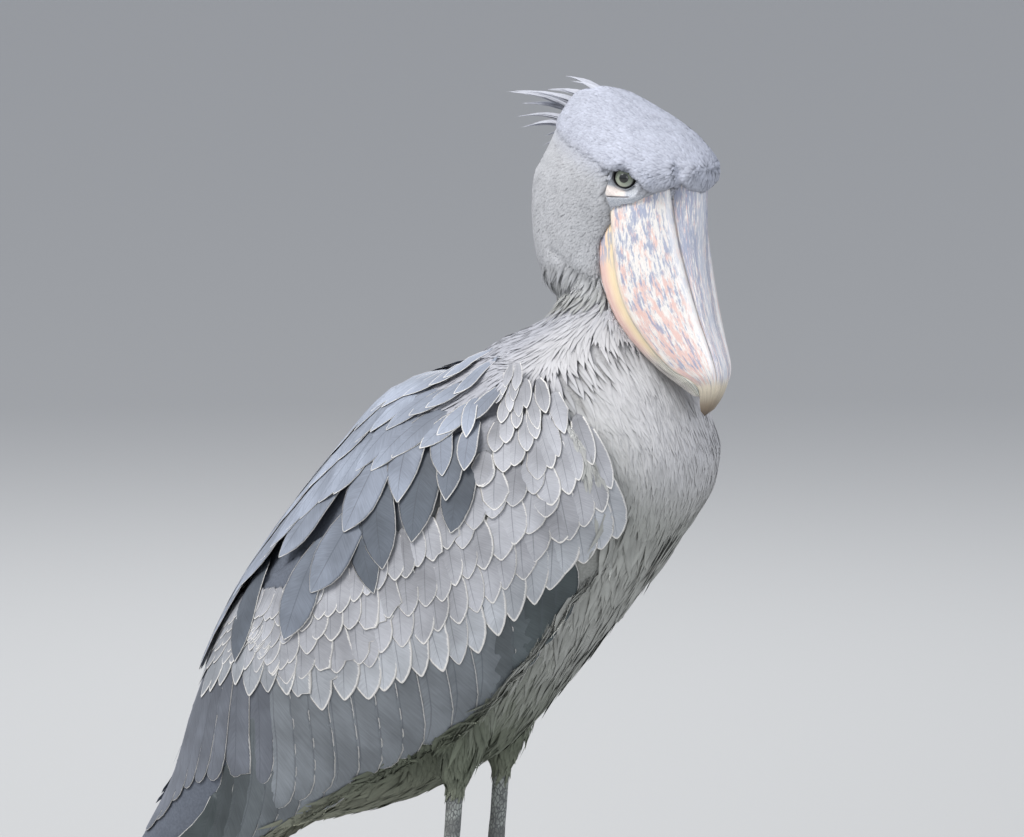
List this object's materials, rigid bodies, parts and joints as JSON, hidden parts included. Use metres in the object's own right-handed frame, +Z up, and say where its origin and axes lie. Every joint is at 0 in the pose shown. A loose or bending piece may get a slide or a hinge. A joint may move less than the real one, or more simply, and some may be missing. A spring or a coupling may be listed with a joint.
{
  "type": "shoebill stork model",
  "caption": "Life-size still model of a shoebill standing hunched with folded wings, its broad hooked bill laid on its breast.",
  "frame": {"origin": "centre of the bounding box's footprint, at floor level under the bird", "axes": "+X the way the bird faces, +Y its left side, +Z up"},
  "size_m": [0.6655, 0.289, 1.0472],
  "materials": {
    "plumage_grey": "matte",
    "wing_grey": "matte",
    "head_grey": "matte",
    "bill_horn": "satin",
    "leg_skin": "matte",
    "claw_horn": "satin",
    "eye_pale": "gloss"
  },
  "bodies": {
    "root": {"trunk": "plumage_grey", "neck": "head_grey", "head": "head_grey", "crest_nape": "head_grey", "crest_crown": "head_grey", "eye_left": "eye_pale", "eye_right": "eye_pale", "bill_upper": "bill_horn", "bill_lower": "bill_horn", "wing_left": "wing_grey", "wing_right": "wing_grey", "tail": "wing_grey", "thigh_left": "plumage_grey", "thigh_right": "plumage_grey", "tibia_left": "leg_skin", "tibia_right": "leg_skin", "tarsus_left": "leg_skin", "tarsus_right": "leg_skin", "foot_left": "leg_skin", "foot_right": "leg_skin", "claw_inner_left": "claw_horn", "claw_inner_right": "claw_horn", "claw_middle_left": "claw_horn", "claw_middle_right": "claw_horn", "claw_outer_left": "claw_horn", "claw_outer_right": "claw_horn", "claw_hind_left": "claw_horn", "claw_hind_right": "claw_horn"}
  },
  "joints": []
}
